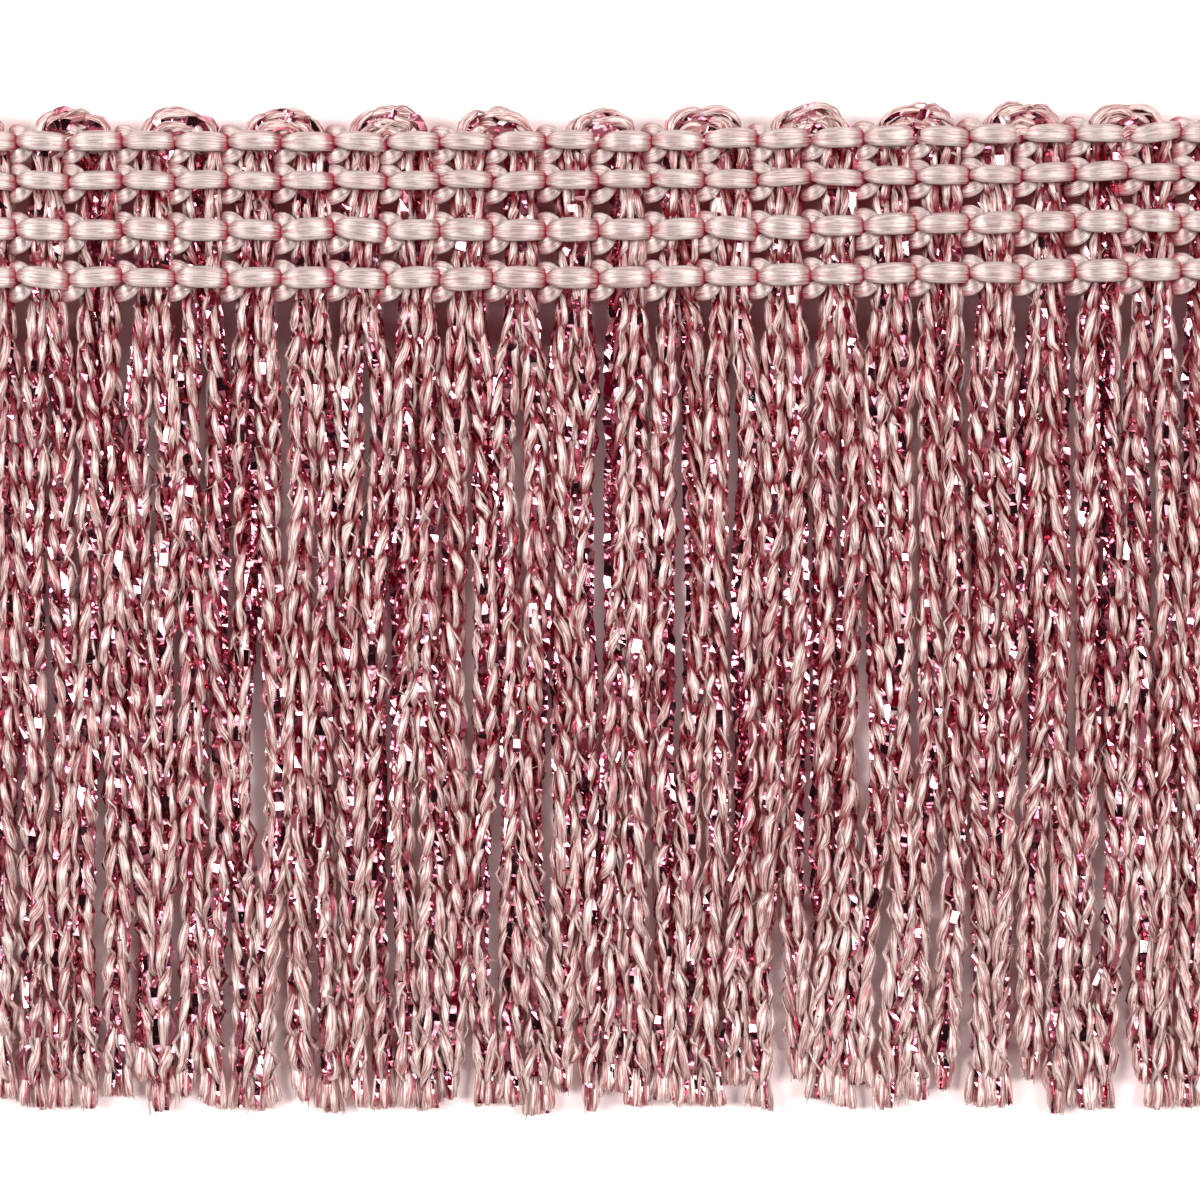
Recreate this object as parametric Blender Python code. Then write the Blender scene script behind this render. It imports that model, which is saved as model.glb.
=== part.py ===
"""A length of chainette fringe trim, lying flat on its back.

The trim lies in the XY plane: X runs along it, +Y points to the picot edge and -Y to the cut ends. The back
of the heading and the lower part of the fringe touch Z = 0. All sizes are in metres.

Pieces:
    fringe_comb       the weft: picots along the top edge, the body of the heading and 52 free cords
    chain_row_1 to 4  the rows of chain stitch, each closed round the two ends of the weft
"""
import math

import bmesh
import bpy
from mathutils import Matrix, Vector

MM = 0.001

# ---- Driving dimensions --------------------------------------------------------------------------------
TRIM_HEIGHT = 50.8 * MM          # picot tops to the longest cut ends
PICOT_COUNT = 13
COLUMN_PITCH = 2.6455 * MM       # one chain stitch: one column of the weft
COLUMNS_PER_PICOT = 2
CORDS_PER_COLUMN = 2
HEADING_RISE = 0.42 * MM         # how far the heading climbs towards +X
RISE_START_X = -2.5 * MM
RISE_END_X = 30.0 * MM

WEFT_THICKNESS = 1.0 * MM        # body of the heading between the face bars and the back loops
CLEARANCE = 0.3 * MM             # between pieces that touch
CORD_WIDTH = 1.02 * MM
CORD_SIDES = 6
DROOP_LENGTH = 9.0 * MM          # below the heading, the cords come down to the surface over this
PARTING_START = 0.55             # share of the fringe above the point where the cords begin to part
CORD_STATIONS = 6

ROW_HEIGHTS = (23.39 * MM, 21.44 * MM, 18.98 * MM, 16.57 * MM)   # Y of the four rows at the level end
BAR_HEIGHT = 1.05 * MM           # widest part of a face bar, along Y
BAR_THICKNESS = 0.70 * MM
BAR_NECK = 0.62                  # width of a bar where the next begins, as a share of its widest part
BAR_SHOULDER = 0.30              # the full width starts this share of a stitch from the bar's middle
BACK_THICKNESS = 0.60 * MM
BACK_STATIONS = 8

PICOT_WIDTH = 3.46 * MM
PICOT_DEPTH = 1.8 * MM           # along Y
PICOT_THICKNESS = 1.25 * MM
PICOT_RISE_SHARE = 0.7           # the picots climb by this share of the heading's rise

# ---- The cut ends --------------------------------------------------------------------------------------
# One row for each picot, from -X to +X. short: how far each of its four cords ends above the longest, in mm.
# drift: how far each has moved towards +X at its end, in mm.
CORD_ENDS = (
    {"short": (0.50, 0.30, 1.50, 0.80), "drift": (0.00, 0.10, 0.00, -0.20)},
    {"short": (0.35, 0.35, 0.25, 0.85), "drift": (-0.15, -0.10, 0.10, 0.25)},
    {"short": (1.70, 0.15, 0.90, 0.40), "drift": (0.00, -0.25, -0.35, -0.30)},
    {"short": (0.35, 0.25, 0.65, 0.10), "drift": (-0.15, -0.40, 0.30, 0.35)},
    {"short": (0.50, 0.35, 0.40, 0.30), "drift": (0.30, 0.40, 0.20, -0.05)},
    {"short": (0.75, 0.50, 0.50, 0.00), "drift": (-0.30, 0.35, 0.10, 0.30)},
    {"short": (1.10, 0.15, 1.10, 0.40), "drift": (0.30, 0.15, 0.05, -0.10)},
    {"short": (0.70, 0.50, 0.45, 1.50), "drift": (-0.20, -0.20, -0.40, -0.45)},
    {"short": (0.30, 1.75, 0.80, 0.40), "drift": (-0.55, 0.05, -0.10, -0.35)},
    {"short": (1.45, 0.30, 0.70, 1.20), "drift": (-0.60, -0.80, -0.55, -0.50)},
    {"short": (0.45, 0.45, 1.70, 0.00), "drift": (-0.05, -0.30, -0.20, -0.15)},
    {"short": (0.30, 0.35, 1.65, 0.30), "drift": (-0.20, -0.45, 0.20, -0.05)},
    {"short": (0.35, 0.90, 0.40, 0.50), "drift": (-0.05, 0.10, 0.00, 0.10)},
)

# ---- Sizes worked out from them ------------------------------------------------------------------------
COLUMN_COUNT = PICOT_COUNT * COLUMNS_PER_PICOT
CORD_COUNT = COLUMN_COUNT * CORDS_PER_COLUMN
CORD_PITCH = COLUMN_PITCH / CORDS_PER_COLUMN
PICOT_PITCH = COLUMN_PITCH * COLUMNS_PER_PICOT
WEFT_HALF_LENGTH = COLUMN_COUNT * COLUMN_PITCH / 2
TOP_Y = TRIM_HEIGHT / 2
LONGEST_END_Y = -TRIM_HEIGHT / 2
HEADING_EDGE_Y = ROW_HEIGHTS[-1] - BAR_HEIGHT * 0.6
FLAT_RATIO = math.cos(math.pi / CORD_SIDES)      # a cord's section: across the flats over across the corners
CORD_RADIUS = CORD_WIDTH / 2
CORD_REST_Z = CORD_RADIUS * FLAT_RATIO
WEFT_Z = BACK_THICKNESS + CLEARANCE + WEFT_THICKNESS / 2
FACE_Z = WEFT_Z + WEFT_THICKNESS / 2 + CLEARANCE + BAR_THICKNESS / 2
ROW_RADIUS = BAR_THICKNESS / 2 / FLAT_RATIO
ROW_FLATTEN = BAR_HEIGHT / 2 / ROW_RADIUS        # the rows' sections are wider than they are thick
BACK_RADIUS_SHARE = BACK_THICKNESS / BAR_THICKNESS
END_X = WEFT_HALF_LENGTH + CLEARANCE + ROW_RADIUS * BACK_RADIUS_SHARE


def smooth(value):
    """An S-shaped step from 0 to 1 as the value goes from 0 to 1."""
    held = min(max(value, 0.0), 1.0)
    return held * held * (3.0 - 2.0 * held)


def rise(x):
    """How far the heading stands above its level end at x."""
    return HEADING_RISE * smooth((x - RISE_START_X) / (RISE_END_X - RISE_START_X))


def clear_scene():
    """Takes every object out of the scene."""
    for old in list(bpy.data.objects):
        bpy.data.objects.remove(old, do_unlink=True)


def new_collection(name):
    """A new collection linked to the scene."""
    made = bpy.data.collections.new(name)
    bpy.context.scene.collection.children.link(made)
    return made


def new_material(name, colour, roughness, metallic):
    """A Principled material with one colour."""
    made = bpy.data.materials.new(name)
    made.use_nodes = True
    shader = made.node_tree.nodes["Principled BSDF"]
    shader.inputs["Base Color"].default_value = (*colour, 1.0)
    shader.inputs["Roughness"].default_value = roughness
    shader.inputs["Metallic"].default_value = metallic
    return made


def tube_mesh(name, points, radii, depth, cyclic=False):
    """A tube through the points as a closed mesh: a curve with a round bevel, its caps welded."""
    data = bpy.data.curves.new(name, "CURVE")
    data.dimensions = "3D"
    data.twist_mode = "Z_UP"
    data.bevel_depth = depth
    data.bevel_resolution = CORD_SIDES // 2 - 2
    data.use_fill_caps = not cyclic
    spline = data.splines.new("POLY")
    spline.points.add(len(points) - 1)
    spline.use_cyclic_u = cyclic
    for knot, place, radius in zip(spline.points, points, radii):
        knot.co = (*place, 1.0)
        knot.radius = radius
    guide = bpy.data.objects.new(name, data)
    bpy.context.scene.collection.objects.link(guide)
    bpy.context.view_layer.update()
    evaluated = guide.evaluated_get(bpy.context.evaluated_depsgraph_get())
    mesh = bpy.data.meshes.new_from_object(evaluated)
    bpy.data.objects.remove(guide, do_unlink=True)
    bpy.data.curves.remove(data)
    welded = bmesh.new()
    welded.from_mesh(mesh)
    bmesh.ops.remove_doubles(welded, verts=welded.verts, dist=0.01 * MM)
    bmesh.ops.recalc_face_normals(welded, faces=welded.faces)
    welded.to_mesh(mesh)
    welded.free()
    return mesh


def cord_route(number):
    """The middle line of one fringe cord, from inside the heading down to its cut end."""
    ends = CORD_ENDS[number // (COLUMNS_PER_PICOT * CORDS_PER_COLUMN)]
    place = number % (COLUMNS_PER_PICOT * CORDS_PER_COLUMN)
    start_x = (number + 0.5) * CORD_PITCH - WEFT_HALF_LENGTH
    start_y = HEADING_EDGE_Y + BAR_HEIGHT / 2 + rise(start_x)
    end_y = LONGEST_END_Y + ends["short"][place] * MM
    edge_y = HEADING_EDGE_Y + rise(start_x)
    route = []
    for station in range(CORD_STATIONS):
        y = start_y + (end_y - start_y) * station / (CORD_STATIONS - 1)
        fallen = smooth((edge_y - y) / DROOP_LENGTH)
        down = (edge_y - y) / (edge_y - end_y)
        parted = smooth((down - PARTING_START) / (1.0 - PARTING_START))
        x = start_x + ends["drift"][place] * MM * parted
        route.append(Vector((x, y, WEFT_Z + (CORD_REST_Z - WEFT_Z) * fallen)))
    return route


def make_cords(name, collection):
    """All the free cords in one object, each its own closed tube."""
    joined = bmesh.new()
    for number in range(CORD_COUNT):
        route = cord_route(number)
        mesh = tube_mesh(name, route, [1.0] * len(route), CORD_RADIUS)
        joined.from_mesh(mesh)
        bpy.data.meshes.remove(mesh)
    return finish_guide(name, joined, collection)


def make_picots(name, collection):
    """The rounded picots of the top edge in one object, each its own closed dome."""
    joined = bmesh.new()
    for number in range(PICOT_COUNT):
        x = (number + 0.5) * PICOT_PITCH - WEFT_HALF_LENGTH
        y = TOP_Y - PICOT_RISE_SHARE * (HEADING_RISE - rise(x)) - PICOT_DEPTH / 2
        size = Matrix.Diagonal((PICOT_WIDTH / 2, PICOT_DEPTH / 2, PICOT_THICKNESS / 2, 1.0))
        place = Matrix.Translation((x, y, WEFT_Z)) @ size
        bmesh.ops.create_uvsphere(joined, u_segments=10, v_segments=6, radius=1.0, matrix=place)
    return finish_guide(name, joined, collection)


def finish_guide(name, joined, collection):
    """Puts joined shapes into an object that the comb is united with, and that isn't a piece itself."""
    mesh = bpy.data.meshes.new(name)
    joined.to_mesh(mesh)
    joined.free()
    guide = bpy.data.objects.new(name, mesh)
    guide.hide_render = True
    guide.display_type = "WIRE"
    collection.objects.link(guide)
    return guide


def make_heading_outline():
    """The outline of the heading's body, its lower and upper edges climbing with the rise."""
    stations = [step * PICOT_PITCH - WEFT_HALF_LENGTH for step in range(PICOT_COUNT + 1)]
    lower = [(x, HEADING_EDGE_Y + rise(x)) for x in stations]
    upper = [(x, ROW_HEIGHTS[0] + BAR_HEIGHT * 0.35 + rise(x)) for x in reversed(stations)]
    return lower + upper


def make_comb(name, material, collection, guides):
    """The weft as one comb: heading body, picots and cords."""
    data = bpy.data.curves.new(name, "CURVE")
    data.dimensions = "2D"
    data.fill_mode = "BOTH"
    data.extrude = WEFT_THICKNESS / 2
    outline = make_heading_outline()
    spline = data.splines.new("POLY")
    spline.points.add(len(outline) - 1)
    spline.use_cyclic_u = True
    for knot, place in zip(spline.points, outline):
        knot.co = (place[0], place[1], 0.0, 1.0)
    flat = bpy.data.objects.new(name + "_outline", data)
    bpy.context.scene.collection.objects.link(flat)
    bpy.context.view_layer.update()
    mesh = bpy.data.meshes.new_from_object(flat.evaluated_get(bpy.context.evaluated_depsgraph_get()))
    bpy.data.objects.remove(flat, do_unlink=True)
    bpy.data.curves.remove(data)
    welded = bmesh.new()
    welded.from_mesh(mesh)
    bmesh.ops.remove_doubles(welded, verts=welded.verts, dist=0.01 * MM)
    bmesh.ops.recalc_face_normals(welded, faces=welded.faces)
    bmesh.ops.translate(welded, verts=welded.verts, vec=(0.0, 0.0, WEFT_Z))
    welded.to_mesh(mesh)
    welded.free()
    mesh.name = name
    mesh.materials.clear()
    mesh.materials.append(material)
    comb = bpy.data.objects.new(name, mesh)
    collection.objects.link(comb)
    for guide in guides:
        union = comb.modifiers.new("join_" + guide.name, "BOOLEAN")
        union.operation = "UNION"
        union.solver = "MANIFOLD"
        union.object = guide
    return comb


def row_route(row_y):
    """One row's closed path and its radii: along the face, round the weft's end and home along the back."""
    places = []
    radii = []
    for stitch in range(COLUMN_COUNT):
        middle = (stitch + 0.5) * COLUMN_PITCH - WEFT_HALF_LENGTH
        for offset, radius in ((-0.5, BAR_NECK), (-BAR_SHOULDER, 1.0), (BAR_SHOULDER, 1.0)):
            places.append((middle + offset * COLUMN_PITCH, FACE_Z))
            radii.append(radius)
    back_z = BACK_THICKNESS / 2
    turn = [(END_X, FACE_Z - CLEARANCE), (END_X, back_z + CLEARANCE)]
    places += [(WEFT_HALF_LENGTH, FACE_Z)] + turn
    radii += [BAR_NECK, BACK_RADIUS_SHARE, BACK_RADIUS_SHARE]
    for station in range(BACK_STATIONS + 1):
        share = 1.0 - 2.0 * station / BACK_STATIONS
        places.append((share * WEFT_HALF_LENGTH, back_z))
        radii.append(BACK_RADIUS_SHARE)
    places += [(-x, z) for x, z in reversed(turn)]
    radii += [BACK_RADIUS_SHARE, BACK_RADIUS_SHARE]
    return [Vector((x, row_y + rise(x), z)) for x, z in places], radii


def make_row(name, row_y, material, collection):
    """One row of chain stitch: bars along the face, a plain run along the back, closed round both ends."""
    route, radii = row_route(row_y)
    mesh = tube_mesh(name, route, radii, ROW_RADIUS, cyclic=True)
    for vertex in mesh.vertices:
        middle = row_y + rise(vertex.co.x)
        vertex.co.y = middle + (vertex.co.y - middle) * ROW_FLATTEN
    mesh.materials.clear()
    mesh.materials.append(material)
    row = bpy.data.objects.new(name, mesh)
    collection.objects.link(row)
    return row


def main():
    """Makes the comb and the four rows."""
    clear_scene()
    pieces = new_collection("chainette_fringe_trim")
    guides = new_collection("cutters")
    chainette = new_material("metallic_chainette", (0.62, 0.33, 0.37), 0.35, 0.35)
    satin = new_material("satin_chain_yarn", (0.84, 0.66, 0.66), 0.45, 0.0)
    cords = make_cords("cords", guides)
    picots = make_picots("picots", guides)
    make_comb("fringe_comb", chainette, pieces, (cords, picots))
    for number, row_y in enumerate(ROW_HEIGHTS, start=1):
        make_row(f"chain_row_{number}", row_y, satin, pieces)


main()
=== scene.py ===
"""The looks of a length of chainette fringe trim, lying face up.

The weft is chainette cord, laid in hairpins: two cords side by side go up through the heading, turn over in a picot
and come down in the next column. Each cord chains two satin yarns and a flat metallic film, with a fourth strand of
yarn or film at its sides and crumpled film inside. Four rows of satin chain stitch bind the weft. Every yarn here is
a real strand, carried along the path that its stitch takes. Lengths are in metres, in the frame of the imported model:
X along the trim, +Y to the picots, Z up.
"""
import logging
import math
from collections import defaultdict
from dataclasses import dataclass, field
from enum import Enum
from typing import NamedTuple

import bpy
import numpy as np
from bpy.types import Material, Mesh, Node, NodeTree, Object
from bpy.types import NodeSocket as Socket
from numpy import ndarray as Array
from numpy.random import Generator
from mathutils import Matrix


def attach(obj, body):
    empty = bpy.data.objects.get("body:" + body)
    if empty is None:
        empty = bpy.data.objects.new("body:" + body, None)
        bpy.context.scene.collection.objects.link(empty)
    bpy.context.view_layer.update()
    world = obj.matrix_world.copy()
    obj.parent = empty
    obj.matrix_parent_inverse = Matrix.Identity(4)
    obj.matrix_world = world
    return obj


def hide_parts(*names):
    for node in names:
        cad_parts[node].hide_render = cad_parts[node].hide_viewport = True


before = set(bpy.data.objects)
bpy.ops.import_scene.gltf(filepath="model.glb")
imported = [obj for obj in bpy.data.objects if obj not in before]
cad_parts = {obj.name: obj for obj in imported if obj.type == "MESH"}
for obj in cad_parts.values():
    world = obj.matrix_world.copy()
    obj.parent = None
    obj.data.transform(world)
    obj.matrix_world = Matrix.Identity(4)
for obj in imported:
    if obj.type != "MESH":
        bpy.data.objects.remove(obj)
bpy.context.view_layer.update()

LOG = logging.getLogger("fringe_trim")
MM = 0.001
TINY = 1e-12
UP = np.array([0.0, 0.0, 1.0])
SEED = 20417
ROW_SEED = SEED + 100

# ---- The trim's own sizes ----
PICOT_COUNT = 13
COLUMN_PITCH = 2.6455 * MM  # one stitch of the rows: one column of the weft
COLUMNS_PER_PICOT = 2
CORDS_PER_COLUMN = 2
CORDS_PER_PICOT = COLUMNS_PER_PICOT * CORDS_PER_COLUMN
CORD_PITCH = COLUMN_PITCH / CORDS_PER_COLUMN
PICOT_PITCH = COLUMN_PITCH * COLUMNS_PER_PICOT
HALF_LENGTH = PICOT_COUNT * PICOT_PITCH / 2
HALF_HEIGHT = 25.4 * MM
ROW_HEIGHTS = (23.39 * MM, 21.44 * MM, 18.98 * MM, 16.57 * MM)  # Y of the rows of stitches
HEADING_EDGE = ROW_HEIGHTS[-1] - 0.63 * MM
HEADING_RISE = 0.42 * MM  # the heading climbs by this towards +X, between the X of RISE_SPAN
RISE_SPAN = (-2.5 * MM, 30.0 * MM)
WEFT_HEIGHT = 1.4 * MM  # Z of the cords' middles in the heading
CORD_REST = 0.66 * MM  # and where they lie on the surface
LEAST_HEIGHT = 0.01 * MM  # nothing lies lower
TURN_FROM = 0.2 * MM  # above the top row, a cord opens out into its picot from here
TURN_SPAN = 0.6 * MM  # over this
HELD_SPAN = 1.0 * MM  # it is held flat from this far above the heading's edge

# ---- How the fringe hangs ----
DROOP_LENGTH = 9.0 * MM  # below the heading, the cords come down to the surface over this
PARTING_START = 0.55  # share of the fringe above the point where the cords part to their ends
LOOSE_OVER = 7.0 * MM  # below the heading, the cords become free to sway over this
CALM_FROM, CALM_SPAN, CALM_BY = 0.8, 0.2, 0.6  # near the ends they sway less
SWAY = ((45 * MM, 19 * MM, 7 * MM), (0.15 * MM, 0.10 * MM, 0.03 * MM))  # wavelengths and heights
GATHER_BY = 0.09 * MM  # neighbours lean together in groups of about GATHER_CORDS
GATHER_CORDS = 2.9
GATHER_WANDER, GATHER_LENGTH = 3.0, 13 * MM  # and change partners on the way down
OVER_BY = 0.42 * MM  # each cord climbs on its neighbour and dips under it again
OVER_LENGTH, OVER_LAG = 17 * MM, 1.5
EASE_FROM = -1.0 * MM  # the stitches loosen from this Y to the cut ends

# ---- The painted glow on the underside ----
UNDER_FROM = 0.15 * MM  # up to this height it is whole
UNDER_SPAN = 0.9 * MM  # and over this it fades to nothing
UNDER_SHARE = 0.33  # share of the painted glow, for light through the yarn, that shows there

# ---- What the photograph shows ----
PHOTO_SIDE = 1200  # pixels
PHOTO_PIXEL = 0.0502 * MM
PHOTO_WIDTH = PHOTO_SIDE * PHOTO_PIXEL
PHOTO_MIDDLE_Y = 0.5 * MM


# ---- The cut ends ----
class CutEnd(Enum):
    """How a cord of the fringe is finished at its end."""

    BRUSH = "B"
    ROUND = "R"
    POINT = "P"


class PicotEnds(NamedTuple):
    """The cut ends of a picot's four cords, from -X.

    Args:
        short: how far each ends above the longest cord, in mm.
        drift: how far each has moved towards +X at its end, in mm.
        ends: how each is finished, by the kinds of CutEnd.
    """

    short: tuple
    drift: tuple
    ends: str


CORD_ENDS = (
    PicotEnds((0.50, 0.30, 1.50, 0.80), (0.00, 0.10, 0.00, -0.20), "BBPB"),
    PicotEnds((0.35, 0.35, 0.25, 0.85), (-0.15, -0.10, 0.10, 0.25), "BBPB"),
    PicotEnds((1.70, 0.15, 0.90, 0.40), (0.00, -0.25, -0.35, -0.30), "PRPB"),
    PicotEnds((0.35, 0.25, 0.65, 0.10), (-0.15, -0.40, 0.30, 0.35), "BBPB"),
    PicotEnds((0.50, 0.35, 0.40, 0.30), (0.30, 0.40, 0.20, -0.05), "BBBB"),
    PicotEnds((0.75, 0.50, 0.50, 0.00), (-0.30, 0.35, 0.10, 0.30), "PBBB"),
    PicotEnds((1.10, 0.15, 1.10, 0.40), (0.30, 0.15, 0.05, -0.10), "PPBB"),
    PicotEnds((0.70, 0.50, 0.45, 1.50), (-0.20, -0.20, -0.40, -0.45), "BBBR"),
    PicotEnds((0.30, 1.75, 0.80, 0.40), (-0.55, 0.05, -0.10, -0.35), "BPBB"),
    PicotEnds((1.45, 0.30, 0.70, 1.20), (-0.60, -0.80, -0.55, -0.50), "BRRP"),
    PicotEnds((0.45, 0.45, 1.70, 0.00), (-0.05, -0.30, -0.20, -0.15), "BBPP"),
    PicotEnds((0.30, 0.35, 1.65, 0.30), (-0.20, -0.45, 0.20, -0.05), "BBPB"),
    PicotEnds((0.35, 0.90, 0.40, 0.50), (-0.05, 0.10, 0.00, 0.10), "BRBB"),
)


# ---- Small tools on whole arrays ----
def smooth(value: Array | float) -> Array:
    """An S-shaped step: v squared times (3 - 2v), with v held between 0 and 1."""
    held = np.clip(value, 0.0, 1.0)
    return held * held * (3.0 - 2.0 * held)


def rise(x: Array | float) -> Array:
    """How far the heading stands above its level end at x: a smooth step between the ends of RISE_SPAN."""
    return HEADING_RISE * smooth((x - RISE_SPAN[0]) / (RISE_SPAN[1] - RISE_SPAN[0]))


def in_picot(y: Array) -> Array:
    """0 up to the top row of stitches and 1 in the picot above it: a smooth step over TURN_SPAN."""
    return smooth((y - ROW_HEIGHTS[0] - TURN_FROM) / TURN_SPAN)


def in_rows(y: Array) -> Array:
    """1 between the rows of the heading, which hold a cord flat, and 0 in the fringe and the picot."""
    return smooth((y - HEADING_EDGE) / HELD_SPAN) * (1.0 - in_picot(y))


def eased_at(y: Array) -> Array:
    """How loose a cord has become: 0 from the heading to EASE_FROM, and 1 at its cut ends."""
    return smooth((EASE_FROM - y) / (EASE_FROM + HALF_HEIGHT))


def unit(vectors: Array) -> Array:
    """Each row of an array scaled to length 1."""
    return vectors / np.maximum(np.linalg.norm(vectors, axis=-1, keepdims=True), TINY)


def column(values: Array | float) -> Array:
    """One number, or one for each row, as a column that rows can be multiplied by."""
    return np.reshape(values, (-1, 1))


def reach_of(line: Array) -> Array:
    """The distance along a line at each of its points."""
    return np.concatenate(([0.0], np.cumsum(np.linalg.norm(np.diff(line, axis=0), axis=1))))


def through(knots: Array, at: Array) -> Array:
    """A smooth curve through knots, a Catmull-Rom cubic on each stretch.

    Args:
        knots: the values to pass through, one row for each knot.
        at: where to read the curve, counted in knots from 0.

    Returns:
        One row for each value of at. On a stretch from b to c, with a before and d after it and f from 0 to 1, it is
        half of 2b + (c - a) f + (2a - 5b + 4c - d) f^2 + (3b - a - 3c + d) f^3.
    """
    last = len(knots) - 1
    low = np.clip(np.floor(at).astype(int), 0, last - 1)
    f = (at - low)[:, None]
    a, b = knots[np.maximum(low - 1, 0)], knots[low]
    c, d = knots[low + 1], knots[np.minimum(low + 2, last)]
    return 0.5 * (2 * b + (c - a) * f + (2 * a - 5 * b + 4 * c - d) * f**2 + (3 * b - a - 3 * c + d) * f**3)


def waves(at: Array, rng: Generator, lengths: tuple, heights: tuple) -> Array:
    """A slow random wander: sines of the given wavelengths and heights, each from its own random phase."""
    total = np.zeros(len(at))
    for length, height in zip(lengths, heights):
        total += height * np.sin(2 * math.pi * at / length + rng.uniform(0, 2 * math.pi))
    return total


@dataclass
class Route:
    """A line that a cord follows, read by the distance along it.

    Args:
        points: the line's points, close together.
    """

    points: Array
    reach: Array = field(init=False)
    headings: Array = field(init=False)

    def __post_init__(self) -> None:
        """Measures the line and its directions."""
        self.reach = reach_of(self.points)
        self.headings = unit(np.gradient(self.points, self.reach, axis=0))

    @property
    def length(self) -> float:
        """The line's whole length."""
        return float(self.reach[-1])

    def read(self, values: Array, at: Array) -> Array:
        """Values given at the line's points, read at distances along it."""
        columns = [np.interp(at, self.reach, values[:, axis]) for axis in range(values.shape[1])]
        return np.stack(columns, axis=1)

    def height(self, along: Array) -> Array:
        """The line's Y at distances along it."""
        return np.interp(along, self.reach, self.points[:, 1])

    def lay(self, along: Array, side: Array | float, depth: Array | float, twist: Array | float) -> Array:
        """Places points that are given beside the line.

        Args:
            along: distance along the line.
            side: distance across it, in the plane of the trim before the twist.
            depth: distance towards the face of the trim before the twist.
            twist: the angle that side and depth are turned by, about the line.

        Returns:
            The places: the line's point + side times the turned across vector + depth times the turned face vector.
        """
        middle = self.read(self.points, along)
        across, face = self.sides(along, twist)
        return middle + column(side) * across + column(depth) * face

    def sides(self, along: Array, twist: Array | float) -> tuple[Array, Array]:
        """The turned across and face vectors at distances along the line."""
        forward = unit(self.read(self.headings, along))
        flat = unit(np.cross(forward, UP))
        up = np.cross(flat, forward)
        cosine, sine = column(np.cos(twist)), column(np.sin(twist))
        return cosine * flat + sine * up, cosine * up - sine * flat


# ---- Surfaces ----
def new_object(name: str, data: bpy.types.ID) -> Object:
    """A new object at the origin, linked to the scene."""
    made = bpy.data.objects.new(name, data)
    bpy.context.scene.collection.objects.link(made)
    return made


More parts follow.
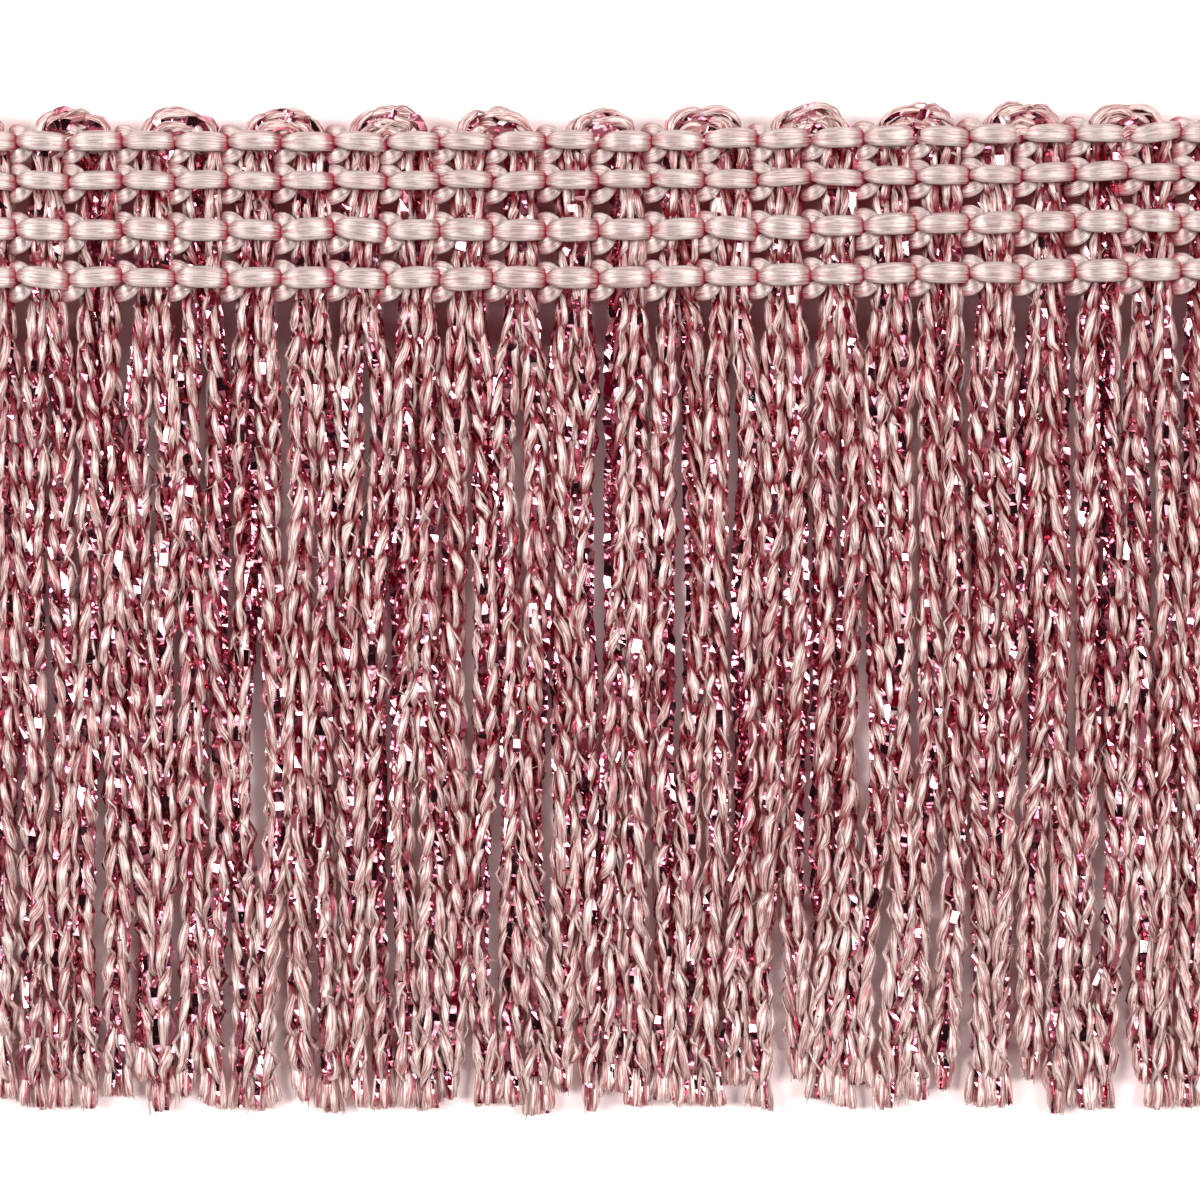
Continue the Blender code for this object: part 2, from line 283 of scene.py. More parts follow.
@dataclass
class Pile:
    """Collects swept surfaces, and makes one mesh of them.

    Each vertex also carries strand, where it lies on its own strand as (cosine and sine of the angle round it,
    distance along it), painted_shade, painted shade from 0 on the open face to about 1 where strands meet, tone, a
    number of its own strand, and under, painted glow from UNDER_SHARE near the surface that the trim lies on to 0 above
    it.
    The map's first axis runs round the strand and its second along it, in mm.
    """

    parts: dict = field(default_factory=lambda: defaultdict(list))
    count: int = 0

    def sweep(self, line: Array, normal: Array, wide: Array | float, thick: Array | float, ring: Array, look: int = 0,
              painted_shade: Array | float = 0.0, tone: float = 0.5, crumple: Array | float = 0.0) -> None:
        """Carries a section along a line, and closes both ends.

        With T the line's direction, N the normal made square to T, and B = T x N, the surface is
        P(i, j) = line(i) + wide(i) ring(j, 0) B(i) + thick(i) ring(j, 1) N(i), and each end is a fan to its middle.

        Args:
            line: the middle line, n points.
            normal: the vector, or one at each point, that the section's second axis leans to.
            wide: half of the section across, at each point.
            thick: half of the section along the normal, at each point.
            ring: the section's points, in a turn from the first axis to the second.
            look: the number of the material.
            painted_shade: how much painted shade each point takes, for lying in the dark between strands.
            tone: the strand's own number.
            crumple: a push added to each vertex.
        """
        n, m = len(line), len(ring)
        forward = unit(np.gradient(line, axis=0))
        up = unit(normal - np.sum(normal * forward, axis=1, keepdims=True) * forward)
        across = np.cross(forward, up)
        sideways = (column(wide) * ring[:, 0])[:, :, None] * across[:, None]
        upwards = (column(thick) * ring[:, 1])[:, :, None] * up[:, None]
        grid = line[:, None] + sideways + upwards + crumple
        along = column(reach_of(line)) / MM
        marks = np.empty((n, m, 3))
        marks[:, :, :2] = unit(ring)
        marks[:, :, 2] = along
        shade_grid = np.broadcast_to(column(painted_shade), (n, m))
        first = self.count + n * m
        cell = np.arange(self.count, first).reshape(n, m)
        after = np.roll(cell, -1, axis=1)
        quads = np.stack([cell[:-1], after[:-1], after[1:], cell[1:]], axis=2).reshape(-1, 4)
        start = np.stack([np.full(m, first), after[0], cell[0]], axis=1)
        finish = np.stack([np.full(m, first + 1), cell[-1], after[-1]], axis=1)
        turn = np.arange(m) / m
        left, right, low, high = np.broadcast_arrays(turn, turn + 1 / m, along[:-1], along[1:])
        corners = np.stack([left, low, right, low, right, high, left, high], axis=2)
        parts = {
            "places": [grid.reshape(-1, 3), line[[0, -1]]],
            "strand": [marks.reshape(-1, 3), [[0, 0, 0], [0, 0, along[-1, 0]]]],
            "painted_shade": [shade_grid.reshape(-1), shade_grid[[0, -1], 0]],
            "tone": [np.full(n * m + 2, tone)],
            "quads": [quads],
            "quad_look": [np.full(len(quads), look)],
            "quad_map": [corners.reshape(-1, 2)],
            "tris": [start, finish],
            "tri_look": [np.full(2 * m, look)],
            "tri_map": [np.tile([[0.5, 0.0], [1.0, 0.0], [0.0, 0.0]], (2 * m, 1))],
        }
        for key, arrays in parts.items():
            self.parts[key] += arrays
        self.count += n * m + 2

    def make(self, name: str, materials: list, flat_looks: tuple = ()) -> Object:
        """The collected surfaces as one object at the origin.

        Args:
            name: the object's name.
            materials: its materials, by the looks' numbers.
            flat_looks: the looks that are shaded flat.

        Returns:
            The new object, linked to the scene.
        """
        whole = {key: np.concatenate(arrays) for key, arrays in self.parts.items()}
        quads, tris, places = whole["quads"], whole["tris"], whole["places"]
        looks = np.concatenate([whole["quad_look"], whole["tri_look"]])
        loops = np.concatenate([quads.reshape(-1), tris.reshape(-1)])
        totals = np.repeat([4, 3], [len(quads), len(tris)])
        starts = np.concatenate(([0], np.cumsum(totals)[:-1]))
        mesh = bpy.data.meshes.new(name)
        mesh.vertices.add(self.count)
        mesh.loops.add(len(loops))
        mesh.polygons.add(len(totals))
        places[:, 2] = np.maximum(places[:, 2], LEAST_HEIGHT)
        mesh.vertices.foreach_set("co", places.astype(np.float32).reshape(-1))
        mesh.loops.foreach_set("vertex_index", loops.astype(np.int32))
        for key, numbers in (("loop_start", starts), ("loop_total", totals), ("material_index", looks)):
            mesh.polygons.foreach_set(key, numbers.astype(np.int32))
        mesh.polygons.foreach_set("use_smooth", ~np.isin(looks, flat_looks))
        for key in ("strand", "painted_shade", "tone"):
            self.carry(mesh, key, whole[key])
        # under masks a painted glow, whole near the surface that the trim lies on
        self.carry(mesh, "under", UNDER_SHARE * (1.0 - smooth((places[:, 2] - UNDER_FROM) / UNDER_SPAN)))
        layout = mesh.uv_layers.new(name="strand_map")
        corners = np.concatenate([whole["quad_map"], whole["tri_map"]])
        layout.data.foreach_set("uv", corners.astype(np.float32).reshape(-1))
        for material in materials:
            mesh.materials.append(material)
        mesh.update()
        mesh.validate()
        return new_object(name, mesh)

    @staticmethod
    def carry(mesh: Mesh, name: str, values: Array) -> None:
        """Writes one number or vector for each vertex into the mesh."""
        kind, key = ("FLOAT_VECTOR", "vector") if values.ndim > 1 else ("FLOAT", "value")
        made = mesh.attributes.new(name, kind, "POINT")
        made.data.foreach_set(key, values.astype(np.float32).reshape(-1))


def circle(sides: int) -> Array:
    """A round section with the given number of sides."""
    angle = 2 * math.pi * np.arange(sides) / sides
    return np.stack([np.cos(angle), np.sin(angle)], axis=1)


FLAT_TOPPED = np.array([
    [1.0, 0.0], [0.90, 0.60], [0.52, 0.93], [0.0, 1.0], [-0.52, 0.93], [-0.90, 0.60], [-1.0, 0.0],
    [-0.72, -0.75], [0.0, -1.0], [0.72, -0.75],
])
FOLDED_STRIP = np.array([[1.0, 0.5], [-1.0, 0.5], [0.0, -1.0]])


# ---- The chainette cord ----
KNOT_SWELL = (0.86, 1.14)  # how much a yarn's thickness varies from knot to knot
BEND_MARGIN = 1.2  # the finer points of the picot start so many stitches before it


@dataclass(frozen=True)
class Strand:
    """One of the yarns that make a cord, with its path through one chain stitch as knots that repeat.

    Args:
        along: how far each knot lies along the cord, in stitches.
        side: how far across it, as a share of the cord's half width.
        depth: how far towards its face, as a share of its half depth.
        size: the strand's own thickness there, as a share of its widest.
        painted_shade: how much painted shade it takes there, as far as it is drawn in among the others: 0 on the face,
            1 and more in a fold.
        half_width: half of its section across, at its widest.
        half_thickness: half of its section the other way.
        ring: its section.
        look: the number of its material.
        crease: how much its face tilts from one crease to the next, in radians.
        slack: how unevenly it lies, in along, side and depth.
        loosen: how much wider it spreads at the cord's cut ends.
        spread: how much wider it lies in the heading.
        samples: steps from one knot to the next.
    """

    along: tuple
    side: tuple
    depth: tuple
    size: tuple
    painted_shade: tuple
    half_width: float
    half_thickness: float
    ring: Array
    look: int
    crease: float
    slack: tuple
    loosen: float
    spread: float
    samples: int = 2

    def follow(self, count: int, rng: Generator, bend: tuple) -> Array:
        """Joins a number of stitches in one smooth curve, no two quite alike.

        Args:
            count: how many stitches.
            rng: the source of the small shifts that each knot gets.
            bend: the first and the last stitch of the picot, which are made with twice the points.

        Returns:
            Rows of along, side, depth, size and painted shade.
        """
        one = np.stack([self.along, self.side, self.depth, self.size, self.painted_shade], axis=1)
        knots = np.tile(one, (count, 1))
        knots[:, 0] += np.repeat(np.arange(count), len(one))
        knots[:, :3] += rng.normal(0.0, 1.0, (len(knots), 3)) * np.array(self.slack)
        knots[:, 3] *= rng.uniform(*KNOT_SWELL, len(knots))
        at = np.arange(0, (len(knots) - 1) * self.samples * 2 + 1) / (self.samples * 2)
        stitch = at / len(one)
        plain = (stitch < bend[0]) | (stitch > bend[1])
        return through(knots, at[~(plain & (np.arange(len(at)) % 2 > 0))])


PALE_YARN = Strand(
    along=(0.00, 0.50, 1.05, 1.50, 1.68, 1.50, 1.05, 0.50, 0.00, 0.55),
    side=(-0.18, -0.40, -0.66, -0.66, 0.00, 0.66, 0.66, 0.40, 0.18, 0.10),
    depth=(0.10, 0.95, 0.82, 0.12, -0.45, 0.12, 0.82, 0.95, 0.10, -0.95),
    size=(0.36, 1.02, 1.20, 0.50, 0.42, 0.50, 1.20, 1.02, 0.36, 0.95),
    painted_shade=(1.80, 0.28, 0.00, 1.15, 1.40, 1.15, 0.00, 0.28, 1.80, 0.60),
    half_width=0.205 * MM, half_thickness=0.12 * MM, ring=circle(5), look=0, crease=0.45, slack=(0.10, 0.09, 0.13),
    loosen=0.15, spread=0.05,
)
THIN_YARN = Strand(
    along=(0.15, 0.70, 1.25, 1.60, 1.25, 0.70, 0.15, 0.70),
    side=(-0.05, -0.22, -0.90, 0.00, 0.35, 0.95, 0.10, -0.30),
    depth=(0.35, 1.05, 0.65, -0.25, 1.05, 0.55, 0.25, -0.90),
    size=(0.60, 1.05, 1.00, 0.60, 1.00, 1.05, 0.60, 0.90),
    painted_shade=(0.60, 0.10, 0.10, 0.50, 0.10, 0.10, 0.60, 0.25),
    half_width=0.075 * MM, half_thickness=0.06 * MM, ring=circle(3), look=0, crease=0.3, slack=(0.12, 0.15, 0.15),
    loosen=0.30, spread=0.5,
)
INNER_FILM = Strand(
    along=(0.10, 0.40, 0.80, 1.15, 1.30, 0.90, 0.45, 0.50),
    side=(-0.05, -0.10, -0.05, 0.10, 0.30, 0.40, 0.25, 0.00),
    depth=(0.20, 1.05, 1.15, 0.45, 0.10, 0.75, 0.50, -0.85),
    size=(0.50, 1.25, 1.25, 0.70, 0.70, 1.10, 0.60, 1.00),
    painted_shade=(0.50, 0.20, 0.20, 0.50, 0.20, 0.20, 0.50, 0.10),
    half_width=0.145 * MM, half_thickness=0.06 * MM, ring=FOLDED_STRIP, look=1, crease=0.38, slack=(0.10, 0.14, 0.15),
    loosen=-0.15, spread=0.5,
)
SIDE_YARN = Strand(
    along=(0.15, 0.70, 1.40, 0.75, 0.15, 0.65),
    side=(-0.25, -1.08, -0.10, 1.08, 0.25, -0.50),
    depth=(0.20, 0.35, -0.50, 0.35, 0.20, -0.85),
    size=(0.70, 1.10, 0.80, 1.10, 0.70, 1.00),
    painted_shade=(1.10, 0.55, 1.00, 0.55, 1.10, 0.50),
    half_width=0.135 * MM, half_thickness=0.09 * MM, ring=circle(4), look=0, crease=0.4, slack=(0.12, 0.08, 0.15),
    loosen=0.25, spread=0.3,
)
SIDE_FILM = Strand(
    along=(0.15, 0.80, 1.45, 0.85, 0.15, 0.65),
    side=(-0.30, -1.02, 0.00, 1.02, 0.30, -0.50),
    depth=(0.35, 0.50, -0.50, 0.50, 0.35, -0.85),
    size=(0.70, 1.10, 0.80, 1.10, 0.70, 1.00),
    painted_shade=(0.50, 0.20, 0.50, 0.20, 0.50, 0.10),
    half_width=0.13 * MM, half_thickness=0.05 * MM, ring=FOLDED_STRIP, look=1, crease=0.38, slack=(0.10, 0.10, 0.18),
    loosen=-0.25, spread=0.0,
)
CORD_STRANDS = (PALE_YARN, THIN_YARN, INNER_FILM)
FILM_SIDED = 0.45  # share of the cords whose fourth strand is film
CORD_TWIST = ((70 * MM, 33 * MM, 15 * MM), (0.45, 0.35, 0.25))  # wavelengths, and angles in radians
START_TWIST = 0.7

# How the strands of a cord lie. Each value is a share of the strand's own size, or as it says.
CREASE_POINTS = 3  # a strand's tilt and width change once in so many points
SWELL = (0.88, 1.12)  # how much its width varies
PULSE, PULSE_LENGTH, PULSE_START = 0.08, 2.3 * MM, 6.0  # a cord widens and narrows by this, from a random start
EASE_WIDENS = 0.12  # and is wider at its cut ends
FACE_LEAN = 0.05  # keeps a strand in the middle of the cord face up
NARROWING = 0.40  # share of the cord's squeeze that its strands take
YARN_OPENS, FILM_OPENS = 0.40, 0.55  # how much wider they are in the picot
PICOT_CALMS = 0.6  # and how much less they tilt there
FOLD_SHADE, EASE_LIGHTENS, PICOT_LIGHTENS = 1.08, 0.72, 0.5  # scales the painted shade in folds; it is painted lighter towards the cut ends and in the picot
HELD_SHADE = 0.10  # painted shade is more by this in the heading, where the rows shade the cords

# ---- The cords' way through the heading and over the picot ----
FRINGE_KNOTS = 30  # knots of a free cord, the highest KNOT_GAP below the heading
KNOT_GAP = 1.2 * MM
KNOT_JITTER = 0.05  # mm
ROUTE_STEP = 0.125  # from one point of a route to the next, in knots
HEADING_BULGE = (0.0, 0.12, 0.0, 0.12, 0.0, 0.08, 0.0)  # between the rows the cords stand up by this, in mm
PICOT_START = 0.25 * MM  # below the top row
CROWN_DROP = 0.72 * MM  # from the trim's top to the middle of a picot's cord
PICOT_RISE_SHARE = 0.7  # the picots climb by this share of the heading's rise
# Half of each turn, with its crown last: x, y and z from the picot's middle, in mm.
OUTER_TURN = ((1.50, -1.15, 0.0), (1.38, -0.52, 0.15), (1.02, -0.08, 0.22), (0.52, 0.08, 0.25), (0.0, 0.10, 0.26))
INNER_TURN = ((0.78, -1.35, 0.1), (0.62, -0.95, 0.35), (0.30, -0.72, 0.45), (0.0, -0.62, 0.48))


@dataclass
class Hairpin:
    """One picot with its two cords: each goes up a column of the heading, over the picot and down the next.

    Args:
        number: which picot, counted from -X.
        rng: the source of its unevenness.
    """

    number: int
    rng: Generator
    stitch_pitch: float = 1.83 * MM  # one chain stitch of a cord
    half_width: float = 0.64 * MM  # how far the stitches reach across the cord
    half_depth: float = 0.49 * MM  # and towards its face
    bare_end: float = 1.0 * MM  # between the first stitch and the cut end
    stitch_tail: float = 0.6  # the last stitch ends so far past its start, in stitches
    core_end: float = 0.8 * MM  # between the film inside and the cut end
    core_step: float = 0.30 * MM
    core_sides: int = 6
    core_half_width: float = 0.57 * MM
    core_half_depth: float = 0.20 * MM
    core_depth: float = -0.14 * MM
    core_crumple: float = 0.05 * MM
    core_twist: float = 0.3  # share of the cord's twist that it takes
    # the film inside takes this painted shade mark, which its material doesn't read
    core_shade: float = 0.6
    core_narrows: tuple = (0.3, 0.4)  # shares of its width that it loses in the picot and at the cut ends
    tip_steps: int = 6  # a cord ends in the direction of its last so many steps
    column_gap: float = 0.43 * MM  # half the distance between the two cords of a column
    heading_squeeze: float = 0.66  # how narrow they are there
    paired_length: float = 5.0 * MM  # and how far below the heading they come apart
    stray_hairs: int = 8
    stray_points: int = 7
    stray_margin: float = 4.0 * MM  # none lies nearer to a cut end
    stray_radius: float = 0.018 * MM
    stray_reach: float = 1.2  # along the cord, in mm
    stray_side: float = 1.1  # from the cord's middle to each end of the hair, in mm
    stray_bow: float = 0.3  # how far it bends aside, in mm
    stray_lift: tuple = (0.50, 0.18)  # height of its ends over the cord's middle, and of its arc over them, in mm

    @property
    def centre(self) -> float:
        """The picot's X."""
        return (self.number + 0.5) * PICOT_PITCH - HALF_LENGTH

    def fringe_knots(self, place: int) -> Array:
        """One free cord's middle line, from its cut end up to the heading.

        It leaves the heading at its own pitch, comes down to rest over DROOP_LENGTH by a smooth step, wanders by slow
        waves that start below the heading, and drifts to its end's place over the lower part.

        Args:
            place: which of the picot's four cords, from -X.

        Returns:
            Points about 1.3 mm apart, the lowest first.
        """
        row = CORD_ENDS[self.number]
        start_x = self.centre + (place - (CORDS_PER_PICOT - 1) / 2) * CORD_PITCH
        edge = HEADING_EDGE + float(rise(start_x))
        end_y = -HALF_HEIGHT + row.short[place] * MM
        y = np.linspace(end_y, edge - KNOT_GAP, FRINGE_KNOTS)
        below = edge - y
        down = below / (edge - end_y)
        parted = smooth((down - PARTING_START) / (1.0 - PARTING_START))
        loose = smooth(below / LOOSE_OVER) * (1.0 - CALM_BY * smooth((down - CALM_FROM) / CALM_SPAN))
        inward = (1.0 if place % 2 == 0 else -1.0) * (CORD_PITCH / 2 - self.column_gap)
        paired = inward * (1.0 - smooth(below / self.paired_length))
        sway = waves(y, self.rng, *SWAY)
        index = self.number * CORDS_PER_PICOT + place
        gather = GATHER_BY * np.sin(2 * math.pi * index / GATHER_CORDS + GATHER_WANDER * np.sin(y / GATHER_LENGTH))
        x = start_x + paired + row.drift[place] * MM * parted + loose * (sway + gather)
        lag = OVER_LAG if index % 2 else -OVER_LAG
        over = 0.5 + 0.5 * np.sin(2 * math.pi * y / OVER_LENGTH + self.rng.uniform(-1.0, 1.0) + lag)
        z = WEFT_HEIGHT + (CORD_REST - WEFT_HEIGHT) * smooth(below / DROOP_LENGTH) + OVER_BY * over * loose
        return np.stack([x, y, z], axis=1)

    def heading_knots(self, side: float, outer: bool) -> Array:
        """One cord's points through the heading's rows, the lowest first, on the -X (side -1) or +X column."""
        column = self.centre + side * COLUMN_PITCH / 2
        x = column + side * (1.0 if outer else -1.0) * self.column_gap
        top, second, third, low = ROW_HEIGHTS
        heights = (low, (low + third) / 2, third, (third + second) / 2, second, (second + top) / 2, top - PICOT_START)
        jitter = self.rng.uniform(-KNOT_JITTER, KNOT_JITTER, len(heights)) * MM
        return np.array([(x + shift, height + float(rise(x)), WEFT_HEIGHT + bulge * MM)
                         for shift, height, bulge in zip(jitter, heights, HEADING_BULGE)])

    def picot_knots(self, outer: bool) -> Array:
        """The turn at the top edge, from the -X side to the +X side."""
        top = HALF_HEIGHT - CROWN_DROP - PICOT_RISE_SHARE * (HEADING_RISE - float(rise(self.centre)))
        half = np.array(OUTER_TURN if outer else INNER_TURN)
        turn = np.concatenate([half * (-1.0, 1.0, 1.0), half[-2::-1]]) * MM
        turn[:, :2] += self.rng.uniform(-KNOT_JITTER, KNOT_JITTER, (len(turn), 2)) * MM
        return turn + np.array([self.centre, top, WEFT_HEIGHT])

    def route(self, outer: bool) -> Route:
        """The whole way of one cord: up from its first cut end, over the picot and down to its second."""
        left, right = (0, 3) if outer else (1, 2)
        knots = np.concatenate([
            self.fringe_knots(left), self.heading_knots(-1.0, outer), self.picot_knots(outer),
            self.heading_knots(1.0, outer)[::-1], self.fringe_knots(right)[::-1],
        ])
        return Route(through(knots, np.arange(0, len(knots) - 1 + TINY, ROUTE_STEP)))

    def squeeze(self, y: Array) -> Array:
        """How much narrower the cord is than when it is free: held in by the rows and just below, not in the picot."""
        inside = smooth((y - HEADING_EDGE + self.paired_length) / self.paired_length)
        return 1.0 - (1.0 - self.heading_squeeze) * inside * (1.0 - in_picot(y))

    def knit(self, pile: Pile, route: Route, strand: Strand, twist_at: Array) -> None:
        """Carries one yarn through all the cord's stitches.

        Args:
            pile: takes the surfaces.
            route: the cord's middle line.
            strand: the yarn and its path in one stitch.
            twist_at: the cord's turn about its own line, at the route's points.
        """
        trim = self.bare_end
        count = int((route.length - 2 * trim) / self.stitch_pitch) - 1
        pitch = (route.length - 2 * trim) / (count + self.stitch_tail)
        turn = route.reach[route.points[:, 1] > ROW_HEIGHTS[0] + TURN_FROM]
        bend = ((turn[0] - trim) / pitch - BEND_MARGIN, (turn[-1] - trim) / pitch)
        path = strand.follow(count, self.rng, bend)
        along = np.clip(trim + path[:, 0] * pitch, 0, route.length)
        y = route.height(along)
        narrow, eased, held = self.squeeze(y), eased_at(y), in_rows(y)
        twist = np.interp(along, route.reach, twist_at)
        pulse = PULSE * np.sin(along / PULSE_LENGTH + self.rng.uniform(0, PULSE_START))
        reach = self.half_width * narrow * (1.0 + pulse + EASE_WIDENS * eased)
        line = route.lay(along, path[:, 1] * reach, path[:, 2] * self.half_depth, twist)
        across, face = route.sides(along, twist)
        outward = unit(path[:, 1:2] * across + path[:, 2:3] * face + FACE_LEAN * face)
        beside = unit(np.cross(np.gradient(line, axis=0), outward))
        turned = in_picot(line[:, 1:2])
        points = np.arange(len(line))
        marks = np.arange(0, len(line) + 2, CREASE_POINTS)
        tilts = self.rng.normal(0.0, strand.crease, len(marks))
        if strand.look:
            tilt = np.repeat(tilts, CREASE_POINTS)[:len(line), None]
        else:
            tilt = np.interp(points, marks, tilts)[:, None]
        swell = np.interp(points, marks, self.rng.uniform(*SWELL, len(marks)))
        tilt = tilt * (1.0 - PICOT_CALMS * turned)
        normal = np.cos(tilt) * outward + np.sin(tilt) * beside
        wide = strand.half_width * path[:, 3] * (1.0 - NARROWING + NARROWING * narrow) * swell
        wide *= 1.0 + (FILM_OPENS if strand.look else YARN_OPENS) * turned[:, 0]
        wide *= 1.0 + strand.loosen * eased + strand.spread * held
        # painted shade: more in folds and between the rows, less towards the cut ends and in the picot
        shade = (FOLD_SHADE - EASE_LIGHTENS * eased) * (1.0 - PICOT_LIGHTENS * turned[:, 0])
        painted_shade = path[:, 4] * shade + HELD_SHADE * held
        thick = strand.half_thickness * path[:, 3]
        pile.sweep(line, normal, wide, thick, strand.ring, strand.look, painted_shade, self.rng.uniform())

    def fill(self, pile: Pile, route: Route, twist_at: Array) -> None:
        """The film that lies crumpled inside the cord: a six-sided tube with every corner pushed at random."""
        trim = self.core_end
        count = int((route.length - 2 * trim) / self.core_step)
        along = np.linspace(trim, route.length - trim, count)
        twist = self.core_twist * np.interp(along, route.reach, twist_at)
        line = route.lay(along, 0.0, self.core_depth, twist)
        face = route.sides(along, twist)[1]
        turned, y = in_picot(line[:, 1]), route.height(along)
        push = self.rng.normal(0.0, self.core_crumple, (count, self.core_sides, 3))
        crumple = push * (1.0 - PICOT_CALMS * turned)[:, None, None]
        in_turn, at_end = self.core_narrows
        wide = self.core_half_width * self.squeeze(y) * (1.0 - in_turn * turned) * (1.0 - at_end * eased_at(y))
        pile.sweep(line, face, wide, self.core_half_depth, circle(self.core_sides), 1, self.core_shade,
                   self.rng.uniform(), crumple)

    def stray(self, pile: Pile, route: Route) -> None:
        """Fine hairs that have come loose and lie over the cord, each a shallow arc between two places beside it."""
        share = np.linspace(0.0, 1.0, self.stray_points)
        arch = np.sin(share * math.pi)
        low, high = self.stray_lift
        for _ in range(self.stray_hairs):
            along = self.rng.uniform(self.stray_margin, route.length - self.stray_margin)
            reach = self.rng.uniform(-self.stray_reach, self.stray_reach) * MM
            start, end = self.rng.uniform(-self.stray_side, self.stray_side, 2) * MM
            side = start + (end - start) * share + self.rng.uniform(-self.stray_bow, self.stray_bow) * MM * arch
            line = route.lay(along + reach * share, side, (low + high * arch) * MM, 0.0)
            pile.sweep(line, UP, self.stray_radius, self.stray_radius, circle(3), 0, 0.0, self.rng.uniform())

    def build(self, materials: list) -> Object:
        """Makes the hairpin's two cords with their cut ends as one piece."""
        pile = Pile()
        for outer in (True, False):
            route = self.route(outer)
            start = self.rng.uniform(-START_TWIST, START_TWIST)
            twist = start + waves(route.reach, self.rng, *CORD_TWIST)
            beside = SIDE_FILM if self.rng.random() < FILM_SIDED else SIDE_YARN
            for strand in (*CORD_STRANDS, beside):
                self.knit(pile, route, strand, twist)
            self.fill(pile, route, twist)
            self.stray(pile, route)
            ends = CORD_ENDS[self.number].ends
            tips, inner = route.points[[0, -1]], route.points[[self.tip_steps, -1 - self.tip_steps]]
            for place, tip, before in zip((0, 3) if outer else (1, 2), tips, inner):
                Tuft(CutEnd(ends[place]), tip, unit(tip - before), self.rng).build(pile)
        return pile.make(f"hairpin_{self.number + 1:02d}", materials, (1,))


TUFT_SPREAD = {CutEnd.BRUSH: 0.68, CutEnd.ROUND: 0.56, CutEnd.POINT: 0.34}  # half of its width at the tip, in mm
LOCK_SIZES = np.array([0.55, 0.8, 0.95, 1.0, 1.0, 1.0, 0.97, 0.88, 0.5])  # of a lock, from the cord to its tip


